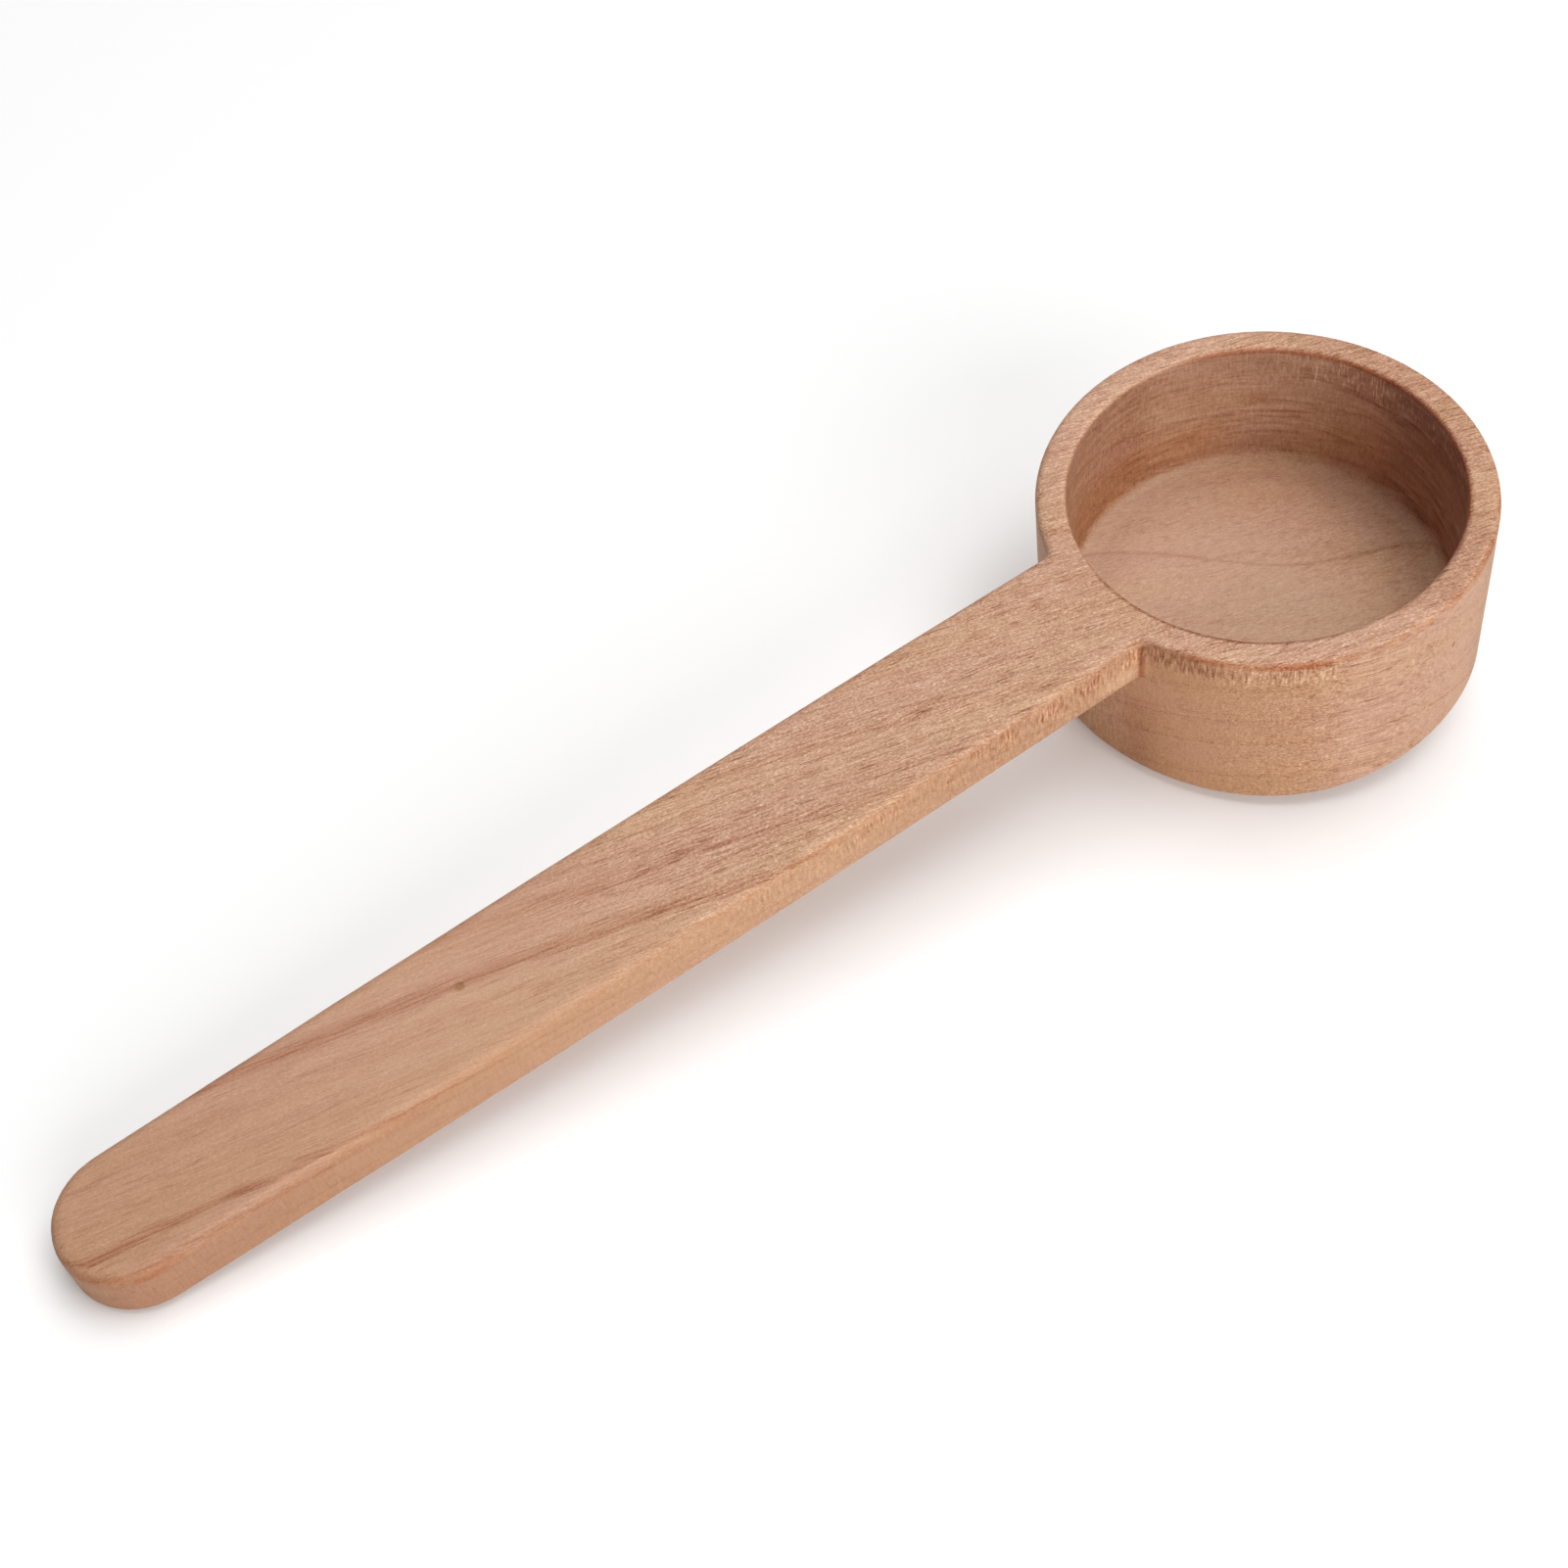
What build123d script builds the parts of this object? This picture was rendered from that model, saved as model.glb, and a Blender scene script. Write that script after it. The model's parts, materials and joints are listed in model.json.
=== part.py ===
from build123d import *
from math import asin, atan2, degrees, hypot, pi, sqrt
import os

# A one-tablespoon measuring spoon carved from a single blank of hardwood: a turned
# cup with a flat handle whose top face is flush with the rim.
# It is made level, with the cup's axis on Z, the rim at height zero and the handle
# along -X, and then laid down as it rests on a table, on the cup's edge and the tip.
# Millimetres throughout.

# Cup
cup_diameter = 42.0
cup_height = 19.6
wall_thickness = 2.95
floor_thickness = 5.1
cavity_corner_radius = 0.9  # where the cavity's wall runs into its floor

# Handle
handle_reach = 103.1  # from the cup's outside to the tip
handle_width = 13.8  # at its widest
handle_thickness = 5.3
widest_from_cup = 34.0  # place of the widest section
tip_narrowing = 1.2  # how much less than the full width the rounded tip has

# Blends and sanded edges
neck_radius = 0.6  # inside corner where the handle grows out of the cup
rim_edge_radius = 0.6  # outer edge of the rim, and the handle's upper edges
rim_inner_radius = 0.3  # the cutter left the cavity's edge crisper
handle_under_radius = 0.9
base_edge_radius = 0.8

match_tolerance = 0.02  # how far off a point may be and still count as on a surface
cubic_mm_per_ml = 1000

# Worked out from the sizes above
cup_radius = cup_diameter / 2
cavity_radius = cup_radius - wall_thickness
cavity_depth = cup_height - floor_thickness
half_width = handle_width / 2
tip_radius = (handle_width - tip_narrowing) / 2
tip_x = -(cup_radius + handle_reach)
tip_centre_x = tip_x + tip_radius
widest_x = -(cup_radius + widest_from_cup)


def side_arc_radius():
    """Radius of the long arc of each side, which runs tangent into the tip's round."""
    run = widest_x - tip_centre_x
    return (run**2 + half_width**2 - tip_radius**2) / tip_narrowing


def side_arc():
    """Long arc of one side, from the cup's axis to where it runs into the tip's round.
    It is drawn as a curve with a weighted middle point, which is an exact arc. The neck's
    fillet fails on a plain arc of several metres' radius, which a longer handle has.
    """
    side_radius = side_arc_radius()
    side_centre = Vector(widest_x, half_width - side_radius)
    tip_centre = Vector(tip_centre_x, 0)
    tangent_point = tip_centre + (tip_centre - side_centre).normalized() * tip_radius
    root = Vector(0, side_centre.Y + sqrt(side_radius**2 - widest_x**2))
    to_chord = (root + tangent_point) * 0.5 - side_centre
    share_of_radius = to_chord.length / side_radius
    tangents_meet = side_centre + to_chord * share_of_radius**-2
    return Bezier(root, tangents_meet, tangent_point, weights=[1, share_of_radius, 1])


def handle_outline():
    """Plan of the handle, from the cup's axis out to the tip."""
    far_side = side_arc()
    near_side = mirror(far_side, Plane.XZ)
    tip_round = ThreePointArc(far_side @ 1, (tip_x, 0), near_side @ 1)
    root = Line(near_side @ 0, far_side @ 0)
    return make_face([far_side, tip_round, near_side, root])


def handle_plank():
    """Handle as a flat plank with its lower edges sanded round."""
    plank = extrude(handle_outline(), -handle_thickness)
    under = plank.faces().sort_by(Axis.Z)[0]
    root_edge = under.edges().sort_by(Axis.X)[-1]
    lower_edges = [edge for edge in under.edges() if edge != root_edge]
    return fillet(lower_edges, handle_under_radius)


def outer_body():
    """Cup blank and handle as one piece, blended at the neck and softened on top."""
    top_down = (Align.CENTER, Align.CENTER, Align.MAX)
    body = Cylinder(cup_radius, cup_height, align=top_down) + handle_plank()
    neck_edges = [edge for edge in body.edges() if lies_on_neck(edge)]
    body = fillet(neck_edges, neck_radius)
    top_edges = body.faces().sort_by(Axis.Z)[-1].outer_wire().edges()
    body = fillet(top_edges, rim_edge_radius)
    base_edges = body.faces().sort_by(Axis.Z)[0].outer_wire().edges()
    return fillet(base_edges, base_edge_radius)


def lies_on_neck(edge):
    """True for an edge where the handle meets the cup's outside, below the top face."""
    middle = edge @ 0.5
    on_wall = abs(hypot(middle.X, middle.Y) - cup_radius) < match_tolerance
    below_top = middle.Z < -match_tolerance
    above_underside = middle.Z > -(handle_thickness + match_tolerance)
    return on_wall and middle.X < 0 and below_top and above_underside


def cavity():
    """Inside of the cup, with a rounded corner round its flat floor."""
    top_down = (Align.CENTER, Align.CENTER, Align.MAX)
    hollow = Cylinder(cavity_radius, cavity_depth, align=top_down)
    floor_edge = hollow.edges().sort_by(Axis.Z)[0]
    return fillet(floor_edge, cavity_corner_radius)


def level_spoon():
    """Whole spoon with the rim level."""
    body = outer_body() - cavity()
    rim_edges = body.faces().sort_by(Axis.Z)[-1].inner_wires()[0].edges()
    return fillet(rim_edges, rim_inner_radius)


def resting_lean():
    """Angle by which the spoon leans when the tip and the cup's edge share a table."""
    run = handle_reach - handle_under_radius + base_edge_radius
    rise = cup_height - base_edge_radius - (handle_thickness - handle_under_radius)
    turn = asin((base_edge_radius - handle_under_radius) / hypot(run, rise))
    return degrees(atan2(rise, run) + turn)


def laid_down(level):
    """Spoon at rest, standing at height zero and centred over the origin."""
    leaning = Rot(0, -resting_lean(), 0) * level
    box = leaning.bounding_box()
    return Pos(-box.center().X, -box.center().Y, -box.min.Z) * leaning


os.makedirs("parts", exist_ok=True)
spoon = laid_down(level_spoon())
spoon.label = "spoon"
export_step(spoon, "parts/spoon.step")
capacity_ml = pi * cavity_radius**2 * cavity_depth / cubic_mm_per_ml
print("lean", round(resting_lean(), 3), "degrees, cup holds about", round(capacity_ml, 1), "ml")
print("box", spoon.bounding_box())
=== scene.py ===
# %% [markdown]
# A wooden measuring spoon, dressed for the camera
#
# The part is a one-tablespoon scoop carved from a single blank of pale reddish-brown hardwood: a
# turned cup and a flat handle that is flush with its rim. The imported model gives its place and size.
# This lesson makes the surface again as a fine mesh with sanded edges, gives it solid wood that runs
# through the whole blank, shows the fibres that the cutter tore at the rim, and lights it softly.

# %% Load the fixed frame
import json
from math import atan2, degrees, radians
import bpy
from mathutils import Euler, Matrix, Vector


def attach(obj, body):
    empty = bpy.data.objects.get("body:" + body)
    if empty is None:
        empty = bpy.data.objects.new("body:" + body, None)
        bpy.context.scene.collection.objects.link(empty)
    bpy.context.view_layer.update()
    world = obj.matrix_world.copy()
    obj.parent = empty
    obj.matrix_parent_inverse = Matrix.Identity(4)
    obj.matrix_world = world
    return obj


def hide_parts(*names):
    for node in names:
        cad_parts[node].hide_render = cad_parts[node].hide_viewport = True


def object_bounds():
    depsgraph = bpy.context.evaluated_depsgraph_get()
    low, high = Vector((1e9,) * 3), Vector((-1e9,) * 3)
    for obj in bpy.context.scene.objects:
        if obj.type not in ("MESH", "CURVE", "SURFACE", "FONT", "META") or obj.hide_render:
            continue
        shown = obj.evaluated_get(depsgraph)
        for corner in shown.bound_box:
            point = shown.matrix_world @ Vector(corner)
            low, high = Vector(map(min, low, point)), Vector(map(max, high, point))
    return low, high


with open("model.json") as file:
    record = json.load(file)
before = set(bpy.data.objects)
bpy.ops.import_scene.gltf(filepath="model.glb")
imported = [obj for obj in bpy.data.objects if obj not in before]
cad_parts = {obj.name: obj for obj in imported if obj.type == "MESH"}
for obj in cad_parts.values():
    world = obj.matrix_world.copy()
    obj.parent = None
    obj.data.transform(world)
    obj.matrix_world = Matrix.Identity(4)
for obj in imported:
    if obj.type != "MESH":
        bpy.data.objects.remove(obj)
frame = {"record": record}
cad_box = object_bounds()
MM = 0.001
print("model box in mm", [round(c / MM, 1) for corner in cad_box for c in corner])

# %% [markdown]
# The spoon lies as it rests on a table, on the cup's lower edge and the tip of its handle. Its sizes
# are easier to say with the rim level, so each piece is made level, with the cup's axis on Z and the
# rim at height zero, and then laid down. The record's own mount on the cup's underside holds the
# place and the slope of the cup, so nothing is measured twice.

# %% Where the level spoon lies
underside = frame["record"]["mounts"][0]
base_centre = Vector(underside["pos_m"])
cup_down = Vector(underside["axis"])
lean = atan2(cup_down.x, -cup_down.z)
cup_height = 19.6 * MM
rim_centre = base_centre - cup_down * cup_height
lay_down = Matrix.Translation(rim_centre) @ Matrix.Rotation(-lean, 4, "Y")
print("the spoon leans", round(degrees(lean), 2), "degrees")

# %% [markdown]
# Every node tree below is built with one small function. It adds a node, sets its properties, and
# fills its inputs in order or by name: an output is linked, and anything else is a fixed value.

# %% One function that adds a node
MATH, VECTOR = "ShaderNodeMath", "ShaderNodeVectorMath"
MIX, RANGE, NOISE = "ShaderNodeMix", "ShaderNodeMapRange", "ShaderNodeTexNoise"
SPLIT, COMBINE = "ShaderNodeSeparateXYZ", "ShaderNodeCombineXYZ"
GROUP, SHADER_GROUP = "GeometryNodeGroup", "ShaderNodeGroup"
FLOAT, VECTOR_SOCKET = "NodeSocketFloat", "NodeSocketVector"


def add(tree, kind, inputs=(), out=0, **settings):
    """Adds one node and returns the output named or numbered by out."""
    node = tree.nodes.new(kind)
    for setting, value in settings.items():
        setattr(node, setting, value)
    named = inputs if isinstance(inputs, dict) else dict(enumerate(inputs))
    for socket, value in named.items():
        if isinstance(value, bpy.types.NodeSocket):
            tree.links.new(value, node.inputs[socket])
        else:
            node.inputs[socket].default_value = value
    return node.outputs[out]


def new_tree(name, inputs, outputs, kind="GeometryNodeTree"):
    """A node tree with named inputs and outputs, each given as name: socket type."""
    tree = bpy.data.node_groups.new(name, kind)
    for in_out, sockets in (("INPUT", inputs), ("OUTPUT", outputs)):
        for socket, socket_type in sockets.items():
            tree.interface.new_socket(socket, in_out=in_out, socket_type=socket_type)
    given = tree.nodes.new("NodeGroupInput").outputs
    result = tree.nodes.new("NodeGroupOutput").inputs
    return tree, given, result


print(add.__name__, "makes a node and", new_tree.__name__, "makes a tree")

# %% [markdown]
# The spoon's shape follows a rule, so it can be said as a distance: how far a point lies outside the
# wood, with a minus sign where it lies inside. A flat cut is one plain distance, and what two cuts
# leave is the larger of their distances. Where the cuts meet, the real edge was sanded round, so this
# group returns a rounded edge instead of a sharp one.

# %% Two cuts that meet in a rounded edge
def make_soft_edge():
    """Distance to the wood left by two cuts whose common edge has the given radius."""
    tree, given, result = new_tree(
        "soft_edge", {"First": FLOAT, "Second": FLOAT, "Radius": FLOAT}, {"Distance": FLOAT}
    )
    first, second, radius = given["First"], given["Second"], given["Radius"]
    past_first = add(tree, MATH, (first, radius), operation="ADD")
    past_second = add(tree, MATH, (second, radius), operation="ADD")
    past_first = add(tree, MATH, (past_first, 0), operation="MAXIMUM")
    past_second = add(tree, MATH, (past_second, 0), operation="MAXIMUM")
    corner = add(tree, COMBINE, (past_first, past_second, 0))
    rounded = add(tree, VECTOR, (corner,), out="Value", operation="LENGTH")
    larger = add(tree, MATH, (first, second), operation="MAXIMUM")
    inward = add(tree, MATH, (radius, -1), operation="MULTIPLY")
    flat = add(tree, MATH, (larger, inward), operation="MINIMUM")
    tree.links.new(add(tree, MATH, (rounded, flat), operation="ADD"), result["Distance"])
    return tree


soft_edge = make_soft_edge()
print("soft_edge has", len(soft_edge.nodes), "nodes")

# %% [markdown]
# These are the spoon's real sizes. The cup's radius comes from the frame, because the cup is the
# widest part of the box. The handle is widest between cup and tip and its tip is a full round. It
# was sanded by hand, so its edges aren't alike: the upper one is rounder towards the tip than beside
# the cup, and more so on the side where a thumb rests, and the lower one is sharper at the tip. The
# cup's lower edge was sanded in four strokes, so its rounding swells and shrinks four times on the
# way round.

# %% The spoon's sizes
cup_radius = (cad_box[1].y - cad_box[0].y) / 2
sizes = {
    "Cup radius": cup_radius,
    "Cup height": cup_height,
    "Cavity radius": cup_radius - 2.95 * MM,
    "Cavity depth": cup_height - 5.1 * MM,
    "Cavity corner": 0.9 * MM,
    "Handle tip": cup_radius + 102.9 * MM,
    "Handle widest": cup_radius + 34 * MM,
    "Half width": 6.9 * MM,
    "Tip radius": 6.3 * MM,
    "Handle thickness": 5.3 * MM,
    "Neck radius": 0.6 * MM,
    "Rim edge": 0.6 * MM,
    "Inner rim edge": 0.3 * MM,
    "Thumb edge": 1.4 * MM,
    "Far tip edge": 0.8 * MM,
    "Under edge": 0.9 * MM,
    "Under tip edge": 0.55 * MM,
    "Base edge": 1.2 * MM,
    "Base swell": 0.4 * MM,
    "Base strokes": 4,
    "First stroke": radians(300),
}
print("the cup is", round(cup_radius * 2 / MM, 1), "mm across and", round(cup_height / MM, 1), "mm high")

# %% [markdown]
# Now the shape, step by step. The cup's blank is a round cut and a flat base. The rounding between
# them isn't even, so its radius follows a wave that rises and falls four times round the cup.

# %% The cup's blank
def cup_blank(tree, given, x, y, depth, from_axis):
    """Distance to the solid cup, without its cavity."""
    side = add(tree, MATH, (from_axis, given["Cup radius"]), operation="SUBTRACT")
    base = add(tree, MATH, (depth, given["Cup height"]), operation="SUBTRACT")
    turn = add(tree, MATH, (y, x), operation="ARCTAN2")
    strokes = (turn, given["Base strokes"], given["First stroke"])
    swell = add(tree, MATH, strokes, operation="MULTIPLY_ADD")
    swell = add(tree, MATH, (swell,), operation="COSINE")
    base_edge = (swell, given["Base swell"], given["Base edge"])
    base_edge = add(tree, MATH, base_edge, operation="MULTIPLY_ADD")
    return add(tree, GROUP, (side, base, base_edge), node_tree=soft_edge)


print("cup_blank takes a cup", round(sizes["Cup height"] / MM, 1), "mm high")

# %% [markdown]
# The handle's outline is a cut along each side and a round at the tip. A side is bowed: it comes in by
# the square of the way from the widest place, so that it meets the tip's round at the round's own
# width. Beyond the middle of that round, the round takes over.

# %% The handle's outline
def handle_outline(tree, given, x, y):
    """Distance to the handle's outline as it is seen from above."""
    tip_centre = add(tree, MATH, (given["Handle tip"], given["Tip radius"]), operation="SUBTRACT")
    bowed_length = add(tree, MATH, (tip_centre, given["Handle widest"]), operation="SUBTRACT")
    past_widest = add(tree, MATH, (x, given["Handle widest"]), operation="ADD")
    share = add(tree, MATH, (past_widest, bowed_length), operation="DIVIDE")
    share_squared = add(tree, MATH, (share, share), operation="MULTIPLY")
    narrowing = add(tree, MATH, (given["Half width"], given["Tip radius"]), operation="SUBTRACT")
    bow = add(tree, MATH, (share_squared, narrowing), operation="MULTIPLY")
    half_width = add(tree, MATH, (given["Half width"], bow), operation="SUBTRACT")
    across = add(tree, MATH, (y,), operation="ABSOLUTE")
    side = add(tree, MATH, (across, half_width), operation="SUBTRACT")

    past_centre = add(tree, MATH, (x, tip_centre), operation="ADD")
    from_centre = add(tree, COMBINE, (past_centre, y, 0))
    from_centre = add(tree, VECTOR, (from_centre,), out="Value", operation="LENGTH")
    tip_round = add(tree, MATH, (from_centre, given["Tip radius"]), operation="SUBTRACT")
    on_tip = add(tree, MATH, (past_centre, 0), operation="LESS_THAN")
    return add(tree, MIX, {"Factor": on_tip, "A": side, "B": tip_round})


print("handle_outline takes a handle", round(sizes["Half width"] * 2 / MM, 1), "mm wide")

# %% [markdown]
# The handle's edges change on the way to the tip, so each radius is a mix of two, by how far towards
# the tip a point lies. The lower edge gets sharper late, the upper one changes evenly, and at the tip
# it also depends on the side.

# %% The handle's edges
def handle_edges(tree, given, x, y):
    """Radius of the handle's lower edge and of its upper edge, which is also the rim's."""
    from_cup = add(tree, MATH, (x, given["Cup radius"]), operation="ADD")
    reach = add(tree, MATH, (given["Cup radius"], given["Handle tip"]), operation="SUBTRACT")
    towards_tip = add(
        tree, RANGE, {"Value": from_cup, "From Min": 0, "From Max": reach},
        interpolation_type="SMOOTHSTEP",
    )
    near_tip = add(tree, MATH, (towards_tip, 2), operation="POWER")
    under_edge = {"Factor": near_tip, "A": given["Under edge"], "B": given["Under tip edge"]}
    under_edge = add(tree, MIX, under_edge)

    far_side = add(tree, MATH, (y, given["Tip radius"]), operation="DIVIDE")
    far_side = add(
        tree, RANGE, {"Value": far_side, "From Min": -0.7, "From Max": 0.7},
        interpolation_type="SMOOTHSTEP",
    )
    tip_edge = {"Factor": far_side, "A": given["Thumb edge"], "B": given["Far tip edge"]}
    tip_edge = add(tree, MIX, tip_edge)
    top_edge = {"Factor": towards_tip, "A": given["Rim edge"], "B": tip_edge}
    return under_edge, add(tree, MIX, top_edge)


print("handle_edges mixes five radii")

# %% [markdown]
# Then the whole spoon is one distance. The same group that rounds an outer edge also rounds the
# inside corner where cup and handle join, if every sign is turned about. The rim's plane cuts both, so
# cup and handle stay flush, and at the end the cavity is taken out.

# %% How far a point lies from the wood
def make_wood_distance():
    """Distance from a point of the level spoon to its surface, negative inside the wood."""
    inputs = {"Point": VECTOR_SOCKET, **dict.fromkeys(sizes, FLOAT)}
    tree, given, result = new_tree("wood_distance", inputs, {"Distance": FLOAT})
    x, y, z = add(tree, SPLIT, (given["Point"],)).node.outputs
    depth = add(tree, MATH, (z, -1), operation="MULTIPLY")
    plan = add(tree, VECTOR, (given["Point"], (1, 1, 0)), operation="MULTIPLY")
    from_axis = add(tree, VECTOR, (plan,), out="Value", operation="LENGTH")
    under_edge, top_edge = handle_edges(tree, given, x, y)

    outline = handle_outline(tree, given, x, y)
    handle_base = add(tree, MATH, (depth, given["Handle thickness"]), operation="SUBTRACT")
    handle = add(tree, GROUP, (outline, handle_base, under_edge), node_tree=soft_edge)
    handle = add(tree, MATH, (handle, x), operation="MAXIMUM")

    cup = cup_blank(tree, given, x, y, depth, from_axis)
    cup_inside = add(tree, MATH, (cup, -1), operation="MULTIPLY")
    handle_inside = add(tree, MATH, (handle, -1), operation="MULTIPLY")
    joined = add(tree, GROUP, (cup_inside, handle_inside, given["Neck radius"]), node_tree=soft_edge)
    body = add(tree, MATH, (joined, -1), operation="MULTIPLY")
    body = add(tree, GROUP, (body, z, top_edge), node_tree=soft_edge)

    cavity_side = add(tree, MATH, (from_axis, given["Cavity radius"]), operation="SUBTRACT")
    cavity_floor = add(tree, MATH, (depth, given["Cavity depth"]), operation="SUBTRACT")
    cavity = add(tree, GROUP, (cavity_side, cavity_floor, given["Cavity corner"]), node_tree=soft_edge)
    outside_cavity = add(tree, MATH, (cavity, -1), operation="MULTIPLY")
    spoon = add(tree, GROUP, (body, outside_cavity, given["Inner rim edge"]), node_tree=soft_edge)
    tree.links.new(spoon, result["Distance"])
    return tree


wood_distance = make_wood_distance()
print("wood_distance has", len(wood_distance.nodes), "nodes")

# %% [markdown]
# Sanding by hand leaves broad shallow waves, and a little noise added to the distance makes them. It
# only takes wood away, so the mesh never leaves the model's box.

# %% The sanded surface
def sanded_distance(tree, given, point):
    """Distance from a point to the surface that the sandpaper left."""
    fixed = {name: given[name] for name in sizes}
    shape = add(tree, GROUP, {"Point": point, **fixed}, node_tree=wood_distance)
    waves_per_metre = add(tree, MATH, (1, given["Sanding length"]), operation="DIVIDE")
    waves = {"Vector": point, "Scale": waves_per_metre, "Detail": 1}
    waves = add(tree, NOISE, waves)
    sanded = add(tree, MATH, (waves, given["Sanding depth"]), operation="MULTIPLY")
    return add(tree, MATH, (shape, sanded), operation="ADD")


print("sanded_distance takes", len(sizes), "named sizes")

# %% [markdown]
# A mesh comes from the distance in two steps. A block of cells round the spoon holds the distance in
# each cell, and Volume to Mesh lays a skin where it is zero. The skin follows the cells, so each of
# its points is then drawn onto the true surface: it moves by its distance, along the way in which
# the distance grows, which is found by asking again a hair's breadth along each axis.

# %% Skin the distance
def make_carve_spoon():
    """The tree that turns the distance into a fine closed mesh."""
    tree, given, result = new_tree(
        "carve_spoon",
        {
            "Geometry": "NodeSocketGeometry",
            **dict.fromkeys(sizes, FLOAT),
            "Lowest corner": VECTOR_SOCKET,
            "Highest corner": VECTOR_SOCKET,
            "Cells along": "NodeSocketInt",
            "Cells across": "NodeSocketInt",
            "Cells up": "NodeSocketInt",
            "Sanding depth": FLOAT,
            "Sanding length": FLOAT,
            "Probe": FLOAT,
            "Wood": "NodeSocketMaterial",
        },
        {"Geometry": "NodeSocketGeometry"},
    )
    position = add(tree, "GeometryNodeInputPosition")
    outside = sanded_distance(tree, given, position)
    inside = add(tree, MATH, (outside, -1), operation="MULTIPLY")
    cells = add(
        tree, "GeometryNodeVolumeCube",
        {
            "Density": inside,
            "Background": -1,
            "Min": given["Lowest corner"],
            "Max": given["Highest corner"],
            "Resolution X": given["Cells along"],
            "Resolution Y": given["Cells across"],
            "Resolution Z": given["Cells up"],
        },
    )
    skin = add(tree, "GeometryNodeVolumeToMesh", {"Volume": cells, "Threshold": 0})

    slopes = []
    for axis in range(3):
        step = add(tree, COMBINE, {axis: given["Probe"]})
        next_to = add(tree, VECTOR, (position, step), operation="ADD")
        there = sanded_distance(tree, given, next_to)
        rise = add(tree, MATH, (there, outside), operation="SUBTRACT")
        slopes.append(add(tree, MATH, (rise, given["Probe"]), operation="DIVIDE"))
    slope = add(tree, COMBINE, slopes)
    slope_squared = add(tree, VECTOR, (slope, slope), out="Value", operation="DOT_PRODUCT")
    travel = add(tree, MATH, (outside, slope_squared), operation="DIVIDE")
    travel = add(tree, MATH, (travel, -1), operation="MULTIPLY")
    offset = add(tree, VECTOR, {0: slope, "Scale": travel}, operation="SCALE")
    skin = add(tree, "GeometryNodeSetPosition", {"Geometry": skin, "Offset": offset})
    skin = add(tree, "GeometryNodeSetShadeSmooth", {"Geometry": skin})
    skin = add(tree, "GeometryNodeRealizeInstances", (skin,))
    skin = add(tree, "GeometryNodeSetMaterial", {"Geometry": skin, "Material": given["Wood"]})
    tree.links.new(skin, result["Geometry"])
    return tree


carve_spoon = make_carve_spoon()
print("carve_spoon has", len(carve_spoon.nodes), "nodes")

# %% [markdown]
# A helper runs such a tree on an object: it sets the inputs by their identifiers, takes the result
# as a plain mesh, and lays that down where the record says. The modifier goes with its object, so
# the finished piece is a mesh and nothing else, at the origin and unturned.

# %% Run a tree and keep its mesh
def grow(name, tree, start, values):
    """A finished piece made by a node tree from the mesh start, laid down at rest."""
    helper = bpy.data.objects.new(name + "_maker", start)
    bpy.context.scene.collection.objects.link(helper)
    maker = helper.modifiers.new("maker", "NODES")
    maker.node_group = tree
    for socket in tree.interface.items_tree:
        if socket.in_out == "INPUT" and socket.name in values:
            maker[socket.identifier] = values[socket.name]
    evaluated = helper.evaluated_get(bpy.context.evaluated_depsgraph_get())
    mesh = bpy.data.meshes.new_from_object(evaluated)
    bpy.data.objects.remove(helper)
    mesh.transform(lay_down)
    mesh.name = name
    piece = bpy.data.objects.new(name, mesh)
    bpy.context.scene.collection.objects.link(piece)
    return piece


print("grow runs", carve_spoon.name, "once the wood is made")

# %% [markdown]
# The wood is a pale reddish-brown hardwood with fine pores, sanded and left bare. To the eye it is
# matt and warm, with thin dark pore lines and broader bands where a year's growth ended.
#
# Wood is solid, so its pattern has to run through the whole blank and come out differently on each
# cut: long dashes along the handle, layers round the cup's wall. That needs coordinates inside the
# wood instead of on its skin. The mapping turns the piece's own coordinates level again and makes
# them millimetres, and three lengths follow from them: along the fibres, across them, and up through
# the growth layers. Both bend a little on their way along the spoon, so the square of x has a share
# in them. The layers come from lines in the photo that are one line on several faces.

# %% Coordinates inside the wood
def linear(code):
    """Linear colour, with alpha, of an sRGB hex code."""
    channels = [int(code[place : place + 2], 16) / 255 for place in (1, 3, 5)]
    return [c / 12.92 if c <= 0.04045 else ((c + 0.055) / 1.055) ** 2.4 for c in channels] + [1]


wood = bpy.data.materials.new("sanded_pale_hardwood")
wood.use_nodes = True
tree = wood.node_tree
shader = tree.nodes["Principled BSDF"]

level = add(tree, "ShaderNodeTexCoord", out="Object")
level = add(
    tree, "ShaderNodeMapping",
    {"Vector": level, "Location": rim_centre, "Rotation": (0, -lean, 0), "Scale": (MM, MM, MM)},
    vector_type="TEXTURE",
)
x, y, z = add(tree, SPLIT, (level,)).node.outputs

# Shares of x, y and, where there is a third, of x squared
along_fibres = (0.974, -0.225, 0)
across_fibres = (0.285, 1, 0.00035)
across_layers = (0.4912, 1, 0.001378)
layer_steepness, steeper_per_mm, neck_x = 2.56, -0.019, -30

along = add(tree, VECTOR, (level, along_fibres), out="Value", operation="DOT_PRODUCT")
x_squared = add(tree, MATH, (x, x), operation="MULTIPLY")
curved = add(tree, COMBINE, (x, y, x_squared))
across = add(tree, VECTOR, (curved, across_fibres), out="Value", operation="DOT_PRODUCT")
layer = add(tree, VECTOR, (curved, across_layers), out="Value", operation="DOT_PRODUCT")
near_cup = add(tree, MATH, (x, neck_x), operation="MAXIMUM")
steepness = add(tree, MATH, (near_cup, steeper_per_mm, layer_steepness), operation="MULTIPLY_ADD")
layer = add(tree, MATH, (z, steepness, layer), operation="MULTIPLY_ADD")
upward = add(tree, MATH, (layer, layer_steepness), operation="DIVIDE")
fibre = add(tree, COMBINE, (along, across, upward))
print("wood coordinates use", len(tree.nodes), "nodes")

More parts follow.
